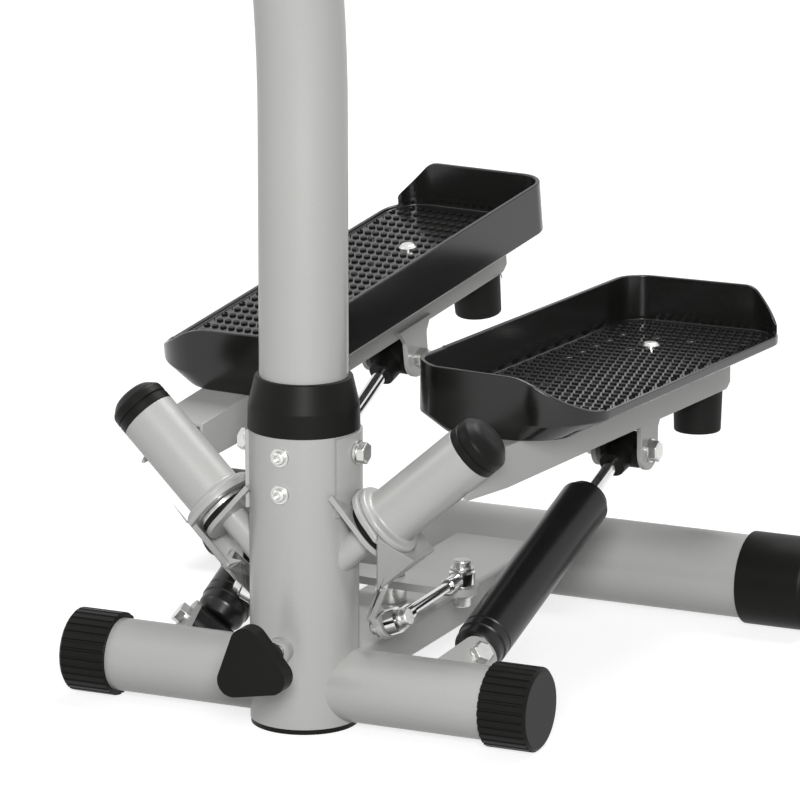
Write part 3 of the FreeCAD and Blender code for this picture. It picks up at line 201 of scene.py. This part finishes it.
def silver_pattern(shade):
    flake = shade.noise(1400, 2)
    cloud = shade.noise(9, 3)
    colour = shade.between(flake * 0.7 + cloud * 0.3, (0.40, 0.40, 0.39, 1), (0.48, 0.48, 0.468, 1))
    peel = shade.noise(260, 1)
    return {"Base Color": colour, "Roughness": 0.30 + cloud * 0.05 + flake * 0.05,
            "Normal": shade.bump(peel, 0.12, 0.0004)}


silver_paint = finish("silver_paint", silver_pattern, Metallic=0.14,
                      Specular_IOR_Level=0.2)


def cover(material, *names):
    """Gives CAD nodes a finish."""
    for name in names:
        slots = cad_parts[name].data.materials
        slots.clear()
        slots.append(material)


cover(silver_paint, "column_tube", "handle_post", "front_stabilizer", "center_beam",
      "rear_stabilizer", "pivot_saddle", "rocker_bar", "handlebar")
cover(silver_paint, *[part + side for side in ("_left", "_right")
                      for part in ("pivot_tube", "pedal_arm", "crank_bracket")])


# ---- Black moulded plastic -----------------------------------------------------------
# The collar, caps, sleeves and bushes are black injection moulded plastic with a fine
# spark-eroded grain and a soft sheen.

def moulded_pattern(shade):
    grain = shade.noise(1800, 2)
    cloud = shade.noise(14, 2)
    colour = shade.between(cloud, (0.004, 0.004, 0.004, 1), (0.009, 0.009, 0.008, 1))
    return {"Base Color": colour, "Roughness": 0.34 + grain * 0.12 + cloud * 0.06,
            "Normal": shade.bump(grain, 0.25, 0.0002)}


black_plastic = finish("black_plastic", moulded_pattern, Specular_IOR_Level=0.12)
cover(black_plastic, "column_foot_plug", "post_collar", "post_head", "handlebar_clamp",
      "adjuster_knob")
cover(black_plastic, *[part + side for side in ("_left", "_right")
                       for part in ("front_cap", "rear_sleeve", "pivot_cap", "thrust_bush",
                                    "damper_head")])


# ---- Bright hardware -------------------------------------------------------------------
# Screws, nuts and washers are zinc plated, with dull spots.

def zinc_pattern(shade):
    spots = shade.noise(350, 4)
    colour = shade.between(spots, (0.50, 0.50, 0.49, 1), (0.78, 0.78, 0.76, 1))
    return {"Base Color": colour, "Roughness": 0.20 + spots * 0.22,
            "Normal": shade.bump(spots, 0.15, 0.0003)}


zinc = finish("zinc_plate", zinc_pattern, Metallic=1.0)
cover(zinc, "column_cross_bolt", "column_screw_lower", "column_screw_upper",
      "rocker_pivot_bolt", "adjuster_screw")
cover(zinc, *[part + side for side in ("_left", "_right")
              for part in ("crank_stud", "damper_lower_bolt", "damper_upper_bolt",
                           "rocker_stud", "thrust_washer", "tray_screw")])


def hex_head(name, node, body, end, height):
    """A hexagon head with eased corners over one end of a bolt, along the bolt's axis."""
    points = [vertex.co.copy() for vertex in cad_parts[node].data.vertices]
    middle = sum(points, Vector()) / len(points)
    axis = max(points, key=lambda point: (point - middle).length) - middle
    for _ in range(12):
        pull = Vector()
        for point in points:
            pull += (point - middle) * (point - middle).dot(axis)
        axis = pull.normalized()
    low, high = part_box(node)
    centre = (Vector(low) + Vector(high)) / 2
    reach = max(abs((point - centre).dot(axis)) for point in points)
    way = axis * end
    place = centre + way * (reach - height / 2 + 0.0003)
    bpy.ops.mesh.primitive_cylinder_add(vertices=6, radius=0.0077, depth=height)
    piece = bpy.context.object
    piece.name = name
    bpy.ops.object.mode_set(mode="EDIT")
    bpy.ops.mesh.select_mode(type="FACE")
    bpy.ops.mesh.select_all(action="DESELECT")
    bpy.ops.object.mode_set(mode="OBJECT")
    for face in piece.data.polygons:
        face.select = face.normal.z > 0.9
    bpy.ops.object.mode_set(mode="EDIT")
    bpy.ops.mesh.inset(thickness=0.0016)
    bpy.ops.transform.translate(value=(0, 0, 0.0006))
    bpy.ops.mesh.select_all(action="SELECT")
    bpy.ops.mesh.bevel(offset=0.0003, segments=2, affect="EDGES")
    bpy.ops.object.mode_set(mode="OBJECT")
    piece.data.transform(Matrix.Translation(place) @ way.to_track_quat("Z", "Y").to_matrix().to_4x4())
    piece.data.materials.append(zinc)
    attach(piece, body)
    bpy.ops.object.select_all(action="DESELECT")


for side in ("left", "right"):
    for end, tag in ((1, "a"), (-1, "b")):
        hex_head("lower_bolt_head_%s_%s" % (tag, side), "damper_lower_bolt_" + side, "frame",
                 end, 0.0058)
        hex_head("upper_bolt_head_%s_%s" % (tag, side), "damper_upper_bolt_" + side,
                 side + "_pedal", end, 0.0068)
for end, tag in ((1, "a"), (-1, "b")):
    hex_head("cross_bolt_head_" + tag, "column_cross_bolt", "frame", end, 0.0050)


# ---- Trays -----------------------------------------------------------------------------
# Each foot tray is one glossy black moulding with eased rims. Its floor carries rows of
# small round studs, every second row set half a pitch across.

def tray_pattern(shade):
    grain = shade.noise(900, 2)
    colour = shade.between(grain, (0.004, 0.004, 0.004, 1), (0.010, 0.010, 0.009, 1))
    return {"Base Color": colour, "Roughness": 0.16 + grain * 0.08,
            "Normal": shade.bump(grain, 0.06, 0.0002)}


tray_plastic = finish("tray_plastic", tray_pattern, Specular_IOR_Level=0.45)


def stud_pattern(shade):
    grain = shade.noise(1500, 2)
    colour = shade.between(grain, (0.003, 0.003, 0.003, 1), (0.007, 0.007, 0.007, 1))
    return {"Base Color": colour, "Roughness": 0.42 + grain * 0.12}


stud_black = finish("stud_black", stud_pattern, Specular_IOR_Level=0.15)


def eased(node, name, body, width, material, flatten=None):
    """A copy of a CAD node whose sharp edges are rounded off, shown in its place."""
    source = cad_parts[node]
    piece = bpy.data.objects.new(name, source.data.copy())
    bpy.context.scene.collection.objects.link(piece)
    piece.select_set(True)
    bpy.context.view_layer.objects.active = piece
    if flatten:
        way, level = flatten
        for vertex in piece.data.vertices:
            rise = vertex.co.dot(way) - level
            if 0.0002 < rise < 0.0014:
                vertex.co -= way * rise
    bpy.ops.object.mode_set(mode="EDIT")
    bpy.ops.mesh.select_all(action="SELECT")
    bpy.ops.mesh.remove_doubles(threshold=0.00001)
    bpy.ops.mesh.dissolve_limited(angle_limit=math.radians(1.0))
    bpy.ops.object.mode_set(mode="OBJECT")
    rounding = piece.modifiers.new("edges", "BEVEL")
    rounding.width = width
    rounding.segments = 2
    rounding.limit_method = "ANGLE"
    rounding.angle_limit = math.radians(40)
    rounding.use_clamp_overlap = False
    bpy.ops.object.modifier_apply(modifier="edges")
    bpy.ops.object.shade_smooth_by_angle(angle=math.radians(35))
    piece.modifiers.new("normals", "WEIGHTED_NORMAL").keep_sharp = True
    bpy.ops.object.modifier_apply(modifier="normals")
    piece.data.materials.clear()
    piece.data.materials.append(material)
    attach(piece, body)
    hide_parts(node)
    bpy.ops.object.select_all(action="DESELECT")
    return piece


def widest_flat(node, way):
    """Direction and level of a node's widest flat face that looks about one way."""
    areas = {}
    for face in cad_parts[node].data.polygons:
        if face.normal.dot(Vector(way)) > 0.9:
            level = round(face.center.dot(face.normal), 4)
            key = tuple(round(part, 3) for part in face.normal) + (level,)
            areas[key] = areas.get(key, 0.0) + face.area
    best = max(areas, key=areas.get)
    return Vector(best[:3]).normalized(), best[3]


STUD_ACROSS = 0.00675
STUD_ALONG = 0.0115


def stud_field(side, sign):
    """Studs on one tray's floor, kept inside the rounded walls."""
    upward, floor_level = widest_flat("pedal_tray_" + side, (0, 0, 1))
    across, _ = widest_flat("pedal_tray_" + side, (sign, 0, 0))
    along = (upward.cross(across) * sign).normalized()
    points = [vertex.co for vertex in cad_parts["pedal_tray_" + side].data.vertices]
    front = min(point.dot(along) for point in points)
    length = max(point.dot(along) for point in points) - front
    width = max(point.dot(across) for point in points) - min(point.dot(across) for point in points)
    edge = min(point.dot(across) for point in points)
    corner = across * edge + along * front + upward * floor_level
    bpy.ops.mesh.primitive_cylinder_add(vertices=10, radius=0.00245, depth=0.0018)
    piece = bpy.context.object
    piece.name = "tray_studs_" + side
    bpy.ops.object.mode_set(mode="EDIT")
    bpy.ops.mesh.select_mode(type="FACE")
    bpy.ops.mesh.select_all(action="DESELECT")
    bpy.ops.object.mode_set(mode="OBJECT")
    for face in piece.data.polygons:
        face.select = face.normal.z > 0.9
    bpy.ops.object.mode_set(mode="EDIT")
    bpy.ops.mesh.bevel(offset=0.00035, segments=1, affect="EDGES")
    bpy.ops.object.mode_set(mode="OBJECT")
    first = Vector((0.024 - 3 * STUD_ACROSS, 0.040 - 2 * STUD_ALONG, 0.0004))
    piece.data.transform(Matrix.Translation(first))
    for axis, step, count in ((0, STUD_ACROSS, 20), (1, STUD_ALONG * 2, 15)):
        rows = piece.modifiers.new("rows", "ARRAY")
        rows.use_relative_offset = False
        rows.use_constant_offset = True
        rows.constant_offset_displace = [step if index == axis else 0 for index in range(3)]
        rows.count = count
        bpy.ops.object.modifier_apply(modifier="rows")
    bpy.ops.object.duplicate()
    second = bpy.context.object
    second.data.transform(Matrix.Translation((STUD_ACROSS / 2, STUD_ALONG, 0)))
    piece.select_set(True)
    bpy.context.view_layer.objects.active = piece
    bpy.ops.object.join()
    bpy.ops.object.mode_set(mode="EDIT")
    bpy.ops.mesh.select_mode(type="VERT")
    bpy.ops.mesh.select_all(action="DESELECT")
    bpy.ops.object.mode_set(mode="OBJECT")
    margin = 0.0065
    for vertex in piece.data.vertices:
        spot_x = first.x + round((vertex.co.x - first.x) / (STUD_ACROSS / 2)) * STUD_ACROSS / 2
        spot_y = first.y + round((vertex.co.y - first.y) / STUD_ALONG) * STUD_ALONG
        near_x = min(max(spot_x, 0.035), width - 0.035)
        near_y = min(max(spot_y, 0.035), length - 0.035)
        gap = math.hypot(spot_x - near_x, spot_y - near_y)
        vertex.select = gap > 0.035 - margin
    bpy.ops.object.mode_set(mode="EDIT")
    bpy.ops.mesh.delete(type="VERT")
    bpy.ops.object.mode_set(mode="OBJECT")
    frame_turn = Matrix((across, along, upward)).transposed().to_4x4()
    piece.data.transform(Matrix.Translation(corner) @ frame_turn)
    if sign < 0:
        piece.data.flip_normals()
    piece.data.materials.clear()
    piece.data.materials.append(stud_black)
    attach(piece, side + "_pedal")
    bpy.ops.object.select_all(action="DESELECT")


for side, sign in (("left", -1), ("right", 1)):
    eased("pedal_tray_" + side, "foot_tray_" + side, side + "_pedal", 0.0009, tray_plastic,
          widest_flat("pedal_tray_" + side, (0, 0, 1)))
    eased("crank_bracket_" + side, "crank_plate_" + side, side + "_pedal", 0.0007, silver_paint)
    eased("pedal_arm_" + side, "arm_channel_" + side, side + "_pedal", 0.0006, silver_paint)
    stud_field(side, sign)


# ---- Rubber and foam ---------------------------------------------------------------------
# The bumpers are moulded rubber and the grips closed-cell foam.

def rubber_pattern(shade):
    grain = shade.noise(700, 3)
    colour = shade.between(grain, (0.005, 0.005, 0.005, 1), (0.012, 0.012, 0.011, 1))
    return {"Base Color": colour, "Roughness": 0.55 + grain * 0.2,
            "Normal": shade.bump(grain, 0.3, 0.0004)}


rubber = finish("rubber", rubber_pattern, Specular_IOR_Level=0.2)
cover(rubber, "pedal_bumper_left", "pedal_bumper_right", "grip_left", "grip_right",
      "adjuster_pad")


# ---- Dampers -------------------------------------------------------------------------------
# Each damper has a black enamelled barrel and a ground, chromed rod.

def enamel_pattern(shade):
    cloud = shade.noise(30, 3)
    colour = shade.between(cloud, (0.005, 0.005, 0.005, 1), (0.011, 0.011, 0.011, 1))
    peel = shade.noise(300, 1)
    return {"Base Color": colour, "Roughness": 0.26 + cloud * 0.1,
            "Normal": shade.bump(peel, 0.1, 0.0003)}


def chrome_pattern(shade):
    smear = shade.noise(120, 3)
    colour = shade.between(smear, (0.66, 0.66, 0.66, 1), (0.8, 0.8, 0.8, 1))
    return {"Base Color": colour, "Roughness": 0.06 + smear * 0.08}


enamel = finish("black_enamel", enamel_pattern, Specular_IOR_Level=0.35)
chrome = finish("chrome", chrome_pattern, Metallic=1.0)
cover(enamel, "damper_barrel_left", "damper_barrel_right")
cover(chrome, "damper_rod_left", "damper_rod_right", "tie_rod_left", "tie_rod_right")
